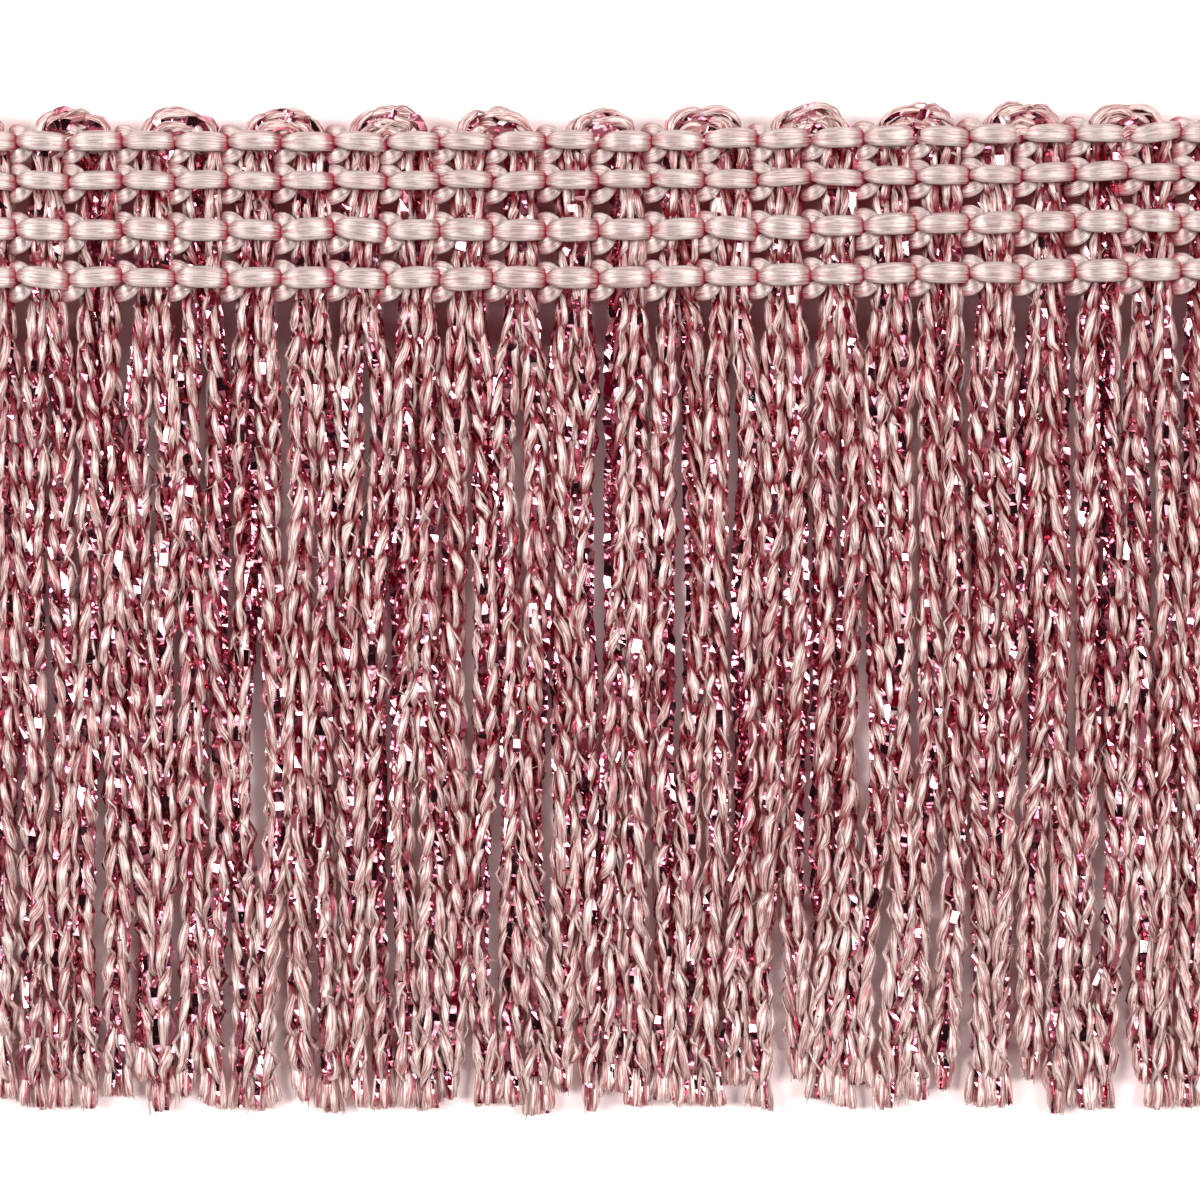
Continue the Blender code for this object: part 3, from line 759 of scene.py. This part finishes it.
@dataclass
class Tuft:
    """The cut end of one cord, where its filaments come loose.

    Args:
        kind: how it is finished.
        tip: the end of the cord's middle line.
        out: the direction that the cord ends in.
        rng: the source of its unevenness.
    """

    kind: CutEnd
    tip: Array
    out: Array
    rng: Generator
    neck: float = 0.46 * MM  # half of its width where it leaves the cord
    body: float = 1.9 * MM  # its length
    locks: int = 8
    lock_shift: float = 0.08  # how unevenly the locks lie across it, as a share of half its width
    lock_bow: float = 0.04  # how far a lock bends aside, in mm
    lock_size: tuple = (0.20, 0.27)  # half of its width, in mm
    lock_lean: float = 0.4  # how far it leans to a side
    lock_low: float = 0.16 * MM  # the lowest that its middle lies
    flatness: float = 0.75  # its thickness, as a share of its width
    uneven: float = 0.05  # how much the locks' lengths vary, in mm
    corner: float = 0.16 * MM  # the outermost locks are shorter by this
    taper: float = 0.55 * MM  # and by this too, unless the end is a brush
    heap: float = 0.30 * MM  # how high the locks are heaped
    hairs: int = 8
    hair_low: float = 0.1 * MM
    hair_size: tuple = (0.035, 0.022)  # half of a hair's width at the cord and at its tip, in mm
    films: int = 3
    film_size: tuple = (0.07, 0.14)  # half of a film's width, in mm
    film_thickness: float = 0.011 * MM

    def __post_init__(self) -> None:
        """Sets out the tuft: its directions, its root, and how it spreads from the neck to the tip."""
        self.across = unit(np.cross(self.out, UP))
        self.up = np.cross(self.across, self.out)
        self.root = self.tip - self.out * self.body
        spread = TUFT_SPREAD[self.kind] * MM * self.rng.uniform(0.9, 1.12)
        self.slant = self.rng.uniform(-0.25, 0.25) * MM
        self.share = np.linspace(0.0, 1.0, len(LOCK_SIZES))
        opening = np.sin(self.share * 2.4) if self.kind is CutEnd.ROUND else self.share**1.5
        self.fan = self.neck + (spread - self.neck) * opening

    def fibre(self, length: float, side: Array, lift: Array | float, lowest: float) -> Array:
        """A fibre's points: root + share x length out + side across + lift up, none below the lowest height."""
        ahead = column(self.share) * length * self.out
        line = self.root + ahead + column(side) * self.across + column(lift) * self.up
        line[:, 2] = np.maximum(line[:, 2], lowest)
        return line

    def build(self, pile: Pile) -> None:
        """Adds the end's strands to a pile: thick locks of filaments, fine hairs over them, and strips of film."""
        share, rng = self.share, self.rng
        for number in range(self.locks):
            flat = (number + 0.5) / self.locks * 2.0 - 1.0 + rng.normal(0.0, self.lock_shift)
            high = rng.uniform(-0.9, 1.0) * math.sqrt(max(0.0, 1.0 - flat * flat))
            length = self.body + self.slant * flat + rng.normal(0.0, self.uneven) * MM - self.corner * flat**4
            if self.kind is not CutEnd.BRUSH:
                length -= self.taper * flat * flat
            bow = rng.normal(0.0, self.lock_bow) * MM * np.sin(share * math.pi)
            line = self.fibre(length, self.fan * flat + bow, self.heap * high * (0.7 + 0.3 * share), self.lock_low)
            size = LOCK_SIZES * rng.uniform(*self.lock_size) * MM * (0.80 + 0.3 * share)
            lean = self.up + self.across * rng.normal(0.0, self.lock_lean)
            # painted shade: more where the lock leaves the cord, less towards its tip, and uneven from lock to lock
            painted_shade = 0.24 - 0.22 * share + 0.12 * rng.normal()
            pile.sweep(line, lean, size, size * self.flatness, circle(6), 0, painted_shade, rng.uniform())
        for _ in range(self.hairs):
            flat = rng.uniform(-1.1, 1.1)
            length = self.body + self.slant * flat + rng.uniform(-0.1, 0.14) * MM
            lift = 0.32 * MM * rng.uniform(0.2, 1.0) * (1.0 - 0.3 * share)
            line = self.fibre(length, self.fan * flat * (1.0 + 0.1 * share), lift, self.hair_low)
            size = np.linspace(*self.hair_size, len(share)) * MM
            pile.sweep(line, self.up, size, size, circle(3), 0, 0.1, rng.uniform())
        for _ in range(self.films):
            flat = rng.uniform(-0.8, 0.8)
            lift = (0.30 + 0.08 * rng.normal()) * MM
            line = self.fibre(self.body * 0.97, self.fan * flat, lift, 0.0)
            turn = rng.uniform(-1.0, 1.0) + share[:, None] * 2.0
            normal = np.cos(turn) * self.up + np.sin(turn) * self.across
            size = rng.uniform(*self.film_size) * MM
            pile.sweep(line, normal, size, self.film_thickness, FOLDED_STRIP, 1, 0.3)


# ---- The rows of chain stitch ----
# The binding yarn's way through a stitch. Its columns: distance along from the stitch's first junction, in stitches;
# distance from the row's line towards the picots, height, and half of the section across and the other way, in mm;
# X and Z of the vector that its thickness follows; and its painted shade, by how far it is drawn in: 0 on the face, 1
# and more in a fold.
ROW_BENDS = np.array([
    [0.02, 0.00, 1.90, 0.20, 0.17, -0.9, 0.5, 1.0],
    [0.05, 0.00, 2.30, 0.28, 0.18, -0.6, 0.8, 0.50],
    [0.12, 0.00, 2.48, 0.38, 0.19, -0.35, 1.0, 0.34],
    [0.24, 0.00, 2.62, 0.47, 0.20, -0.2, 1.0, 0.10],
    [0.40, 0.00, 2.67, 0.51, 0.20, 0.0, 1.0, 0.0],
    [0.58, 0.00, 2.63, 0.51, 0.20, 0.2, 1.0, 0.06],
    [0.75, 0.00, 2.47, 0.49, 0.20, 0.3, 1.0, 0.18],
    [0.87, 0.00, 2.27, 0.45, 0.19, 0.5, 0.9, 0.50],
    [0.97, 0.00, 1.92, 0.38, 0.17, 0.8, 0.6, 1.6],
    [1.00, 0.02, 1.30, 0.24, 0.18, 1.0, 0.0, 1.2],
    [1.04, 0.10, 0.75, 0.24, 0.20, 0.7, 0.7, 0.8],
    [1.20, 0.32, 0.42, 0.28, 0.22, 0.0, -1.0, 0.3],
    [1.45, 0.44, 0.34, 0.30, 0.22, 0.0, -1.0, 0.3],
    [1.70, 0.46, 0.42, 0.30, 0.22, -0.3, -1.0, 0.3],
    [1.82, 0.50, 0.95, 0.28, 0.20, -1.0, -0.2, 0.6],
    [1.87, 0.56, 1.60, 0.31, 0.19, -1.0, 0.3, 0.7],
    [1.96, 0.58, 2.02, 0.34, 0.16, -0.4, 1.0, 0.40],
    [2.09, 0.48, 2.16, 0.33, 0.14, 0.0, 1.0, 0.08],
    [2.21, 0.30, 2.08, 0.25, 0.14, 0.3, 1.0, 0.12],
    [2.28, 0.00, 1.75, 0.20, 0.15, 0.6, 0.8, 1.1],
    [2.21, -0.36, 2.08, 0.27, 0.14, 0.3, 1.0, 0.12],
    [2.09, -0.64, 2.16, 0.37, 0.14, 0.0, 1.0, 0.08],
    [1.96, -0.78, 2.02, 0.38, 0.16, -0.4, 1.0, 0.40],
    [1.87, -0.76, 1.60, 0.34, 0.19, -1.0, 0.3, 0.7],
    [1.82, -0.66, 0.95, 0.28, 0.20, -1.0, -0.2, 0.6],
    [1.70, -0.52, 0.42, 0.30, 0.22, -0.3, -1.0, 0.3],
    [1.45, -0.44, 0.34, 0.30, 0.22, 0.0, -1.0, 0.3],
    [1.20, -0.32, 0.42, 0.28, 0.22, 0.0, -1.0, 0.3],
    [1.04, -0.10, 0.75, 0.24, 0.20, -0.7, -0.7, 0.8],
    [1.00, -0.02, 1.30, 0.22, 0.18, -1.0, 0.0, 1.0],
])
BAR_BENDS = 9  # the first so many make the bar on the face
ROW_PLUMPNESS = (0.96, 0.93, 1.10, 1.05)  # how wide each row's yarn is, from the picots down


@dataclass
class ChainRow:
    """One row of satin chain stitch: bars along the face, and on the back loops that hold one another.

    Args:
        number: which row, 1 at the picots.
        rng: the source of its unevenness.
    """

    number: int
    rng: Generator
    samples: int = 2  # steps from one knot to the next
    end_draw: float = 0.15  # share of its length that a loop past the trim's end keeps
    tilt: float = 0.045  # how unevenly the bars lie: their slope
    swell: float = 0.05  # their width, as a share of it
    shift: float = 0.03  # and the stitches' own Y, in mm
    hidden: float = 0.9 * MM  # lower than this, only the knots are made
    # the most painted shade that any point of the row takes
    most_shade: float = 1.3

    def path(self) -> Array:
        """The yarn's knots for every stitch, in metres: x, y, z, wide, thick, lean x, lean z, deep."""
        stitches, size = PICOT_COUNT * COLUMNS_PER_PICOT, len(ROW_BENDS)
        knots = np.tile(ROW_BENDS, (stitches, 1))
        which = np.repeat(np.arange(stitches), size)
        x = (knots[:, 0] + which) * COLUMN_PITCH - HALF_LENGTH
        x = np.minimum(x, HALF_LENGTH + self.end_draw * (x - HALF_LENGTH))
        bar = np.tile(np.arange(size) < BAR_BENDS, stitches)
        tilt = self.rng.normal(0.0, self.tilt, stitches)[which] * bar
        plump = ROW_PLUMPNESS[self.number - 1] * (1.0 + self.rng.normal(0.0, self.swell, stitches)[which] * bar)
        lift = self.rng.normal(0.0, self.shift, stitches)[which]
        middle = (which + 0.5) * COLUMN_PITCH - HALF_LENGTH
        y = knots[:, 1] * MM + tilt * (x - middle) + lift * MM + ROW_HEIGHTS[self.number - 1] + rise(x)
        z = knots[:, 2] * MM
        wide, thick = knots[:, 3] * MM * plump, knots[:, 4] * MM
        return np.stack([x, y, z, wide, thick, knots[:, 5], knots[:, 6], knots[:, 7]], axis=1)

    def build(self, material: Material) -> Object:
        """Makes the row as one continuous yarn."""
        knots = self.path()
        fine = np.arange(0, (len(knots) - 1) * self.samples + 1) / self.samples
        hidden = np.interp(fine, np.arange(len(knots)), knots[:, 2]) < self.hidden
        at = fine[~(hidden & (np.arange(len(fine)) % self.samples > 0))]
        made = through(knots, at)
        normal = np.stack([made[:, 5], np.zeros(len(made)), made[:, 6]], axis=1)
        pile = Pile()
        # painted shade in the stitch's folds, held below its most
        painted_shade = np.clip(made[:, 7], 0, self.most_shade)
        pile.sweep(made[:, :3], normal, made[:, 3], made[:, 4], FLAT_TOPPED, 0, painted_shade)
        return pile.make(f"chain_stitch_{self.number}", [material])


# ---- Finishes ----
TONE_SHIFT = 37.0  # moves each strand's streaks to a place of their own in the noise
FOLD_END = 0.70  # the mark of painted shade at which a yarn has its whole painted fold shade
FOLD_GLOW = 0.2  # share of the painted glow, for light through the yarn, that shows in a fold
PATCHES_PER_METRE = 900.0
CREASES_PER_METRE = 1700.0
CREASE_RELIEF = 0.10 * MM


@dataclass(frozen=True)
class Graph:
    """A tree of shader nodes, with short ways to add and join them.

    Args:
        tree: the tree.
    """

    tree: NodeTree

    def fill(self, made: Node, inputs: dict) -> None:
        """Sets a node's inputs by name or number: an output is joined to its input, and other values are stored."""
        for key, value in inputs.items():
            if isinstance(value, Socket):
                self.tree.links.new(value, made.inputs[key])
            else:
                made.inputs[key].default_value = value

    def add(self, kind: str, inputs: dict | None = None, **values: object) -> Node:
        """A new node, with its properties set by name and its inputs filled."""
        made = self.tree.nodes.new(kind)
        for key, value in values.items():
            setattr(made, key, value)
        self.fill(made, inputs or {})
        return made

    def mark(self, name: str, output: str = "Fac") -> Socket:
        """One of the values that the mesh carries."""
        return self.add("ShaderNodeAttribute", attribute_name=name).outputs[output]

    def times_add(self, value: Socket, times: float, more: Socket, clamp: bool = False) -> Socket:
        """value x times + more."""
        inputs = {0: value, 1: times, 2: more}
        return self.add("ShaderNodeMath", inputs, operation="MULTIPLY_ADD", use_clamp=clamp).outputs[0]

    def step(self, value: Socket, low: float, high: float, start: float = 0.0, end: float = 1.0) -> Socket:
        """A smooth step from start to end as the value goes from low to high."""
        inputs = {"Value": value, "From Min": low, "From Max": high, "To Min": start, "To Max": end}
        return self.add("ShaderNodeMapRange", inputs, interpolation_type="SMOOTHSTEP").outputs["Result"]

    def mix(self, share: Socket, first: object, second: tuple) -> Socket:
        """A colour that goes from first, a colour or an output, to second as share goes from 0 to 1."""
        start = (*first, 1.0) if isinstance(first, tuple) else first
        inputs = {"Factor": share, "A": start, "B": (*second, 1.0)}
        return self.add("ShaderNodeMix", inputs, data_type="RGBA").outputs["Result"]

    def noise(self, place: Socket, scale: float, detail: float, roughness: float = 0.5) -> Socket:
        """Noise from 0 to 1."""
        inputs = {"Vector": place, "Scale": scale, "Detail": detail, "Roughness": roughness}
        return self.add("ShaderNodeTexNoise", inputs).outputs["Fac"]

    def bump(self, height: Socket, strength: float, distance: float) -> Socket:
        """A normal that leans as the height says."""
        inputs = {"Height": height, "Strength": strength, "Distance": distance}
        return self.add("ShaderNodeBump", inputs).outputs["Normal"]


def new_material(name: str) -> tuple[Material, Graph, Node]:
    """A new material, with its graph and its shader."""
    material = bpy.data.materials.new(name)
    material.use_nodes = True
    return material, Graph(material.node_tree), material.node_tree.nodes["Principled BSDF"]


def filament_group() -> NodeTree:
    """The shared effect of fine parallel filaments, which run along a strand.

    It reads where a point lies round and along its strand, and stretches noise along it, so the streaks follow every
    bend. Streaks is a mask from 0 to 1, and Height is the relief for a bump.
    """
    group = bpy.data.node_groups.new("filaments", "ShaderNodeTree")
    for name, start in (("Fineness", 4.0), ("Stretch", 0.5)):
        socket = group.interface.new_socket(name, in_out="INPUT", socket_type="NodeSocketFloat")
        socket.default_value = start
    for name in ("Streaks", "Height"):
        group.interface.new_socket(name, in_out="OUTPUT", socket_type="NodeSocketFloat")
    graph = Graph(group)
    entry = graph.add("NodeGroupInput")
    parts = graph.add("ShaderNodeSeparateXYZ", {0: graph.mark("strand", "Vector")})
    x, y, z = (
        graph.add("ShaderNodeMath", {0: parts.outputs[axis], 1: entry.outputs[amount]}, operation="MULTIPLY").outputs[0]
        for axis, amount in (("X", "Fineness"), ("Y", "Fineness"), ("Z", "Stretch"))
    )
    place = graph.add("ShaderNodeCombineXYZ", {0: x, 1: y, 2: graph.times_add(graph.mark("tone"), TONE_SHIFT, z)})
    height = graph.noise(place.outputs[0], 1.0, 3.0, 0.65)
    graph.add("NodeGroupOutput", {"Streaks": graph.step(height, 0.40, 0.60), "Height": height})
    return group


@dataclass(frozen=True)
class Satin:
    """A multifilament satin yarn, with painted shade where strands meet and a painted glow in the folds and underneath.

    Args:
        name: the material's name.
        light: the colour of the lighter streaks along the filaments, a painted highlight.
        body: the colour between them.
        painted_shade: the colour of the painted shade in the folds between strands.
        through: the colour of a painted glow, emitted for the light that comes through the filaments, in the folds and
            on the side that the trim lies on.
        fineness: how closely the streaks lie round the strand.
        stretch: how soon a streak ends along it.
        roughness: of the filaments.
        relief: the bump's distance.
        anisotropy: how far the gloss spreads across the filaments.
        ragged: how far the light streaks reach into the painted shade of the folds.
        gloss: how strong the gloss is, and how much of it takes the yarn's own colour.
    """

    name: str
    light: tuple
    body: tuple
    painted_shade: tuple
    through: tuple
    fineness: float
    stretch: float
    roughness: float
    relief: float
    anisotropy: float
    ragged: float
    gloss: tuple

    def make(self, filaments: NodeTree) -> Material:
        """The material: streaks mix light into body, the painted shade colour mixes in by the strand's own mark, a
        painted glow is emitted in the folds and underneath, and a bump follows.
        """
        material, graph, shader = new_material(self.name)
        material.cycles.emission_sampling = "NONE"  # its painted glow is too weak to sample as a light
        group = graph.add("ShaderNodeGroup", node_tree=filaments)
        graph.fill(group, {"Fineness": self.fineness, "Stretch": self.stretch})
        streaks = group.outputs["Streaks"]
        # painted shade in the folds, which the light streaks break into
        fold = graph.step(graph.times_add(streaks, -self.ragged, graph.mark("painted_shade")), 0.0, FOLD_END)
        # painted glow: a share of the fold shade, and the underside mask
        painted_glow = graph.times_add(fold, FOLD_GLOW, graph.mark("under"), clamp=True)
        tangent = graph.add("ShaderNodeTangent", direction_type="UV_MAP", uv_map="strand_map")
        strength, own_colour = self.gloss
        graph.fill(shader, {
            "Base Color": graph.mix(fold, graph.mix(streaks, self.body, self.light), self.painted_shade),
            "Emission Color": graph.mix(painted_glow, (0.0, 0.0, 0.0), self.through),
            "Emission Strength": 1.0,
            "Normal": graph.bump(group.outputs["Height"], 0.8, self.relief),
            "Tangent": tangent.outputs["Tangent"],
            "Anisotropic": self.anisotropy,
            "Roughness": self.roughness,
            "IOR": 1.9,
            "Specular IOR Level": strength,
            "Metallic": own_colour,
            "Sheen Weight": 0.04,
            "Sheen Roughness": 0.4,
        })
        return material


@dataclass(frozen=True)
class Film:
    """The flat metallic film: a thin creased strip, mirror bright in patches and dyed crimson between them.

    Args:
        name: the material's name.
        mirror: the tint of the patches that mirror the room.
        dye: the colour between them.
        metallic: how much of a mirror the film is, between the patches and in them.
        roughness: of the film.
    """

    name: str
    mirror: tuple
    dye: tuple
    metallic: tuple
    roughness: float

    def make(self) -> Material:
        """The material: noise makes the patches, and a finer noise the creases."""
        material, graph, shader = new_material(self.name)
        place = graph.add("ShaderNodeTexCoord").outputs["Object"]
        patch = graph.step(graph.noise(place, PATCHES_PER_METRE, 1.0), 0.36, 0.45)
        between, inside = self.metallic
        bright = graph.add("ShaderNodeMapRange", {"Value": patch, "To Min": between, "To Max": inside})
        graph.fill(shader, {
            "Base Color": graph.mix(patch, self.dye, self.mirror),
            "Metallic": bright.outputs["Result"],
            "Normal": graph.bump(graph.noise(place, CREASES_PER_METRE, 1.0), 1.0, CREASE_RELIEF),
            "Roughness": self.roughness,
            "Coat Weight": 1.0,
            "Coat Roughness": 0.05,
            "Coat IOR": 1.65,
        })
        return material


# Their fold colours are painted shade, their through colours a painted glow, and their light streak colours a painted
# highlight.
CORD_SATIN = Satin(
    name="pale_cord_yarn", light=(0.71, 0.58, 0.535), body=(0.31, 0.082, 0.084), painted_shade=(0.17, 0.002, 0.011),
    through=(0.26, 0.006, 0.012), fineness=3.0, stretch=1.0, roughness=0.40, relief=0.06 * MM, anisotropy=0.8,
    ragged=0.34, gloss=(0.40, 0.22),
)
ROW_SATIN = Satin(
    name="satin_binding_yarn", light=(0.60, 0.49, 0.45), body=(0.37, 0.235, 0.225), painted_shade=(0.46, 0.010, 0.050),
    through=(0.18, 0.018, 0.036), fineness=7.5, stretch=0.9, roughness=0.40, relief=0.05 * MM, anisotropy=0.95,
    ragged=0.50, gloss=(1.0, 0.5),
)
ROSE_FILM = Film(
    name="rose_film", mirror=(0.72, 0.17, 0.26), dye=(0.15, 0.001, 0.013), metallic=(0.50, 1.0), roughness=0.12,
)


# ---- The studio ----
@dataclass
class Studio:
    """A pale floor, soft lights and the camera, straight above the trim as in the photograph."""

    lens: float = 100.0
    sensor: float = 36.0
    aim_height: float = 1.4 * MM
    floor_size: float = 1.6

    def camera(self) -> None:
        """The camera: its distance fits PHOTO_WIDTH at the height of the weft."""
        data = bpy.data.cameras.new("camera")
        data.lens = self.lens
        data.sensor_width = self.sensor
        data.clip_start = 0.01
        made = new_object("camera", data)
        distance = PHOTO_WIDTH * self.lens / self.sensor
        made.location = (0.0, PHOTO_MIDDLE_Y, self.aim_height + distance)
        bpy.context.scene.camera = made

    def floor(self) -> None:
        """A plain pale floor under the trim."""
        half = self.floor_size / 2
        mesh = bpy.data.meshes.new("floor")
        mesh.from_pydata([(-half, -half, 0), (half, -half, 0), (half, half, 0), (-half, half, 0)], [], [(0, 1, 2, 3)])
        material, graph, shader = new_material("pale_floor")
        graph.fill(shader, {"Base Color": (0.96, 0.82, 0.81, 1.0), "Roughness": 0.9, "Specular IOR Level": 0.1})
        mesh.materials.append(material)
        made = new_object("floor", mesh)

    def light(self, name: str, place: tuple, size: tuple, power: float) -> None:
        """One soft rectangular light, turned to the trim."""
        data = bpy.data.lights.new(name, "AREA")
        data.shape = "RECTANGLE"
        data.size, data.size_y = size
        data.energy = power
        made = new_object(name, data)
        made.location = place
        toward = -np.array(place)
        tip = math.atan2(math.hypot(toward[0], toward[1]), -toward[2])
        made.rotation_euler = (tip, 0.0, math.atan2(toward[1], toward[0]) - math.pi / 2)

    def surround(self) -> None:
        """The room: dark overhead, where the camera hangs, and lighter towards the walls."""
        world = bpy.data.worlds.new("surround")
        world.use_nodes = True
        graph = Graph(world.node_tree)
        direction = graph.add("ShaderNodeTexCoord").outputs["Generated"]
        parts = graph.add("ShaderNodeSeparateXYZ", {0: direction})
        strength = graph.step(parts.outputs["Z"], 0.30, 0.80, 0.42, 0.012)
        colour = (1.0, 0.97, 0.95, 1.0)
        graph.fill(world.node_tree.nodes["Background"], {"Strength": strength, "Color": colour})
        bpy.context.scene.world = world

    def build(self) -> None:
        """Camera, floor, lights and the room."""
        self.camera()
        self.floor()
        self.light("left", (-0.42, 0.06, 0.50), (0.22, 0.30), 4.2)
        self.light("right", (0.42, 0.06, 0.50), (0.22, 0.30), 3.6)
        self.light("top", (0.0, 0.55, 0.45), (0.5, 0.2), 1.8)
        self.light("bottom", (0.0, -0.60, 0.40), (0.5, 0.2), 1.2)
        self.surround()
        bpy.context.scene.view_settings.view_transform = "Standard"


# ---- Putting it together ----
def finish_piece(piece: Object, slot: str, *nodes: str) -> None:
    """Makes a piece ride on the trim's body and stand for its CAD nodes, which it hides, and logs its triangles."""
    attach(piece, "root")
    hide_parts(*nodes)
    triangles = sum(len(p.vertices) - 2 for p in piece.data.polygons)
    LOG.info("%s: %d triangles", piece.name, triangles)


def main() -> None:
    """Builds the studio, the finishes, the hairpins and the rows."""
    logging.basicConfig(level=logging.INFO, format="%(message)s")
    Studio().build()
    filaments = filament_group()
    cord_satin, row_satin, film = CORD_SATIN.make(filaments), ROW_SATIN.make(filaments), ROSE_FILM.make()
    for number in range(PICOT_COUNT):
        piece = Hairpin(number, np.random.default_rng(SEED + number)).build([cord_satin, film])
        finish_piece(piece, "metallic_chainette", "fringe_comb")
    for number in range(1, len(ROW_HEIGHTS) + 1):
        piece = ChainRow(number, np.random.default_rng(ROW_SEED + number)).build(row_satin)
        finish_piece(piece, "satin_chain_yarn", f"chain_row_{number}")


if __name__ == "__main__":
    main()
